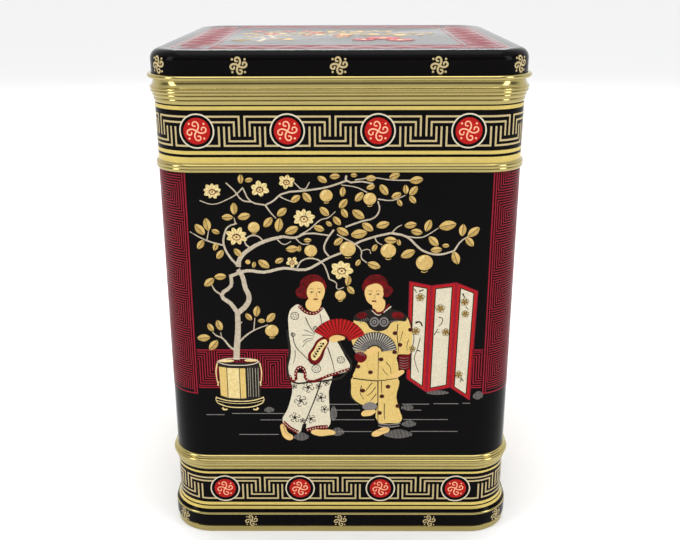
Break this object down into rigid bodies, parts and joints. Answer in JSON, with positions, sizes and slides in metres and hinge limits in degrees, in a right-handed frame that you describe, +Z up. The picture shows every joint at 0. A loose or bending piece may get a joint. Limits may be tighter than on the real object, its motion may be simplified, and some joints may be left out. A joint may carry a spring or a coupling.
{
  "type": "lithographed tin",
  "caption": "Square upright canister of printed tinplate with rounded corners, ribbed bands, a proud plinth and a slip-on lid that lifts straight off.",
  "frame": {"origin": "middle of the foot, at the level the tin stands on", "axes": "+Z up, -Y towards the front of the tin, +Y towards the side seam at the back"},
  "size_m": [0.1374, 0.1374, 0.1905],
  "materials": {
    "black_lacquer": "gloss",
    "gold_lacquer": "gloss",
    "gold_ink": "gloss",
    "cream_ink": "gloss",
    "red_ink": "gloss"
  },
  "bodies": {
    "tin": {"body_wall": "black_lacquer", "bottom_panel": "gold_lacquer"},
    "lid": {"lid": "black_lacquer"}
  },
  "joints": [
    {"name": "lid_lift", "type": "slide", "parent": "tin", "child": "lid", "axis": [0, 0, 1], "range_m": [0, 0.06]}
  ]
}
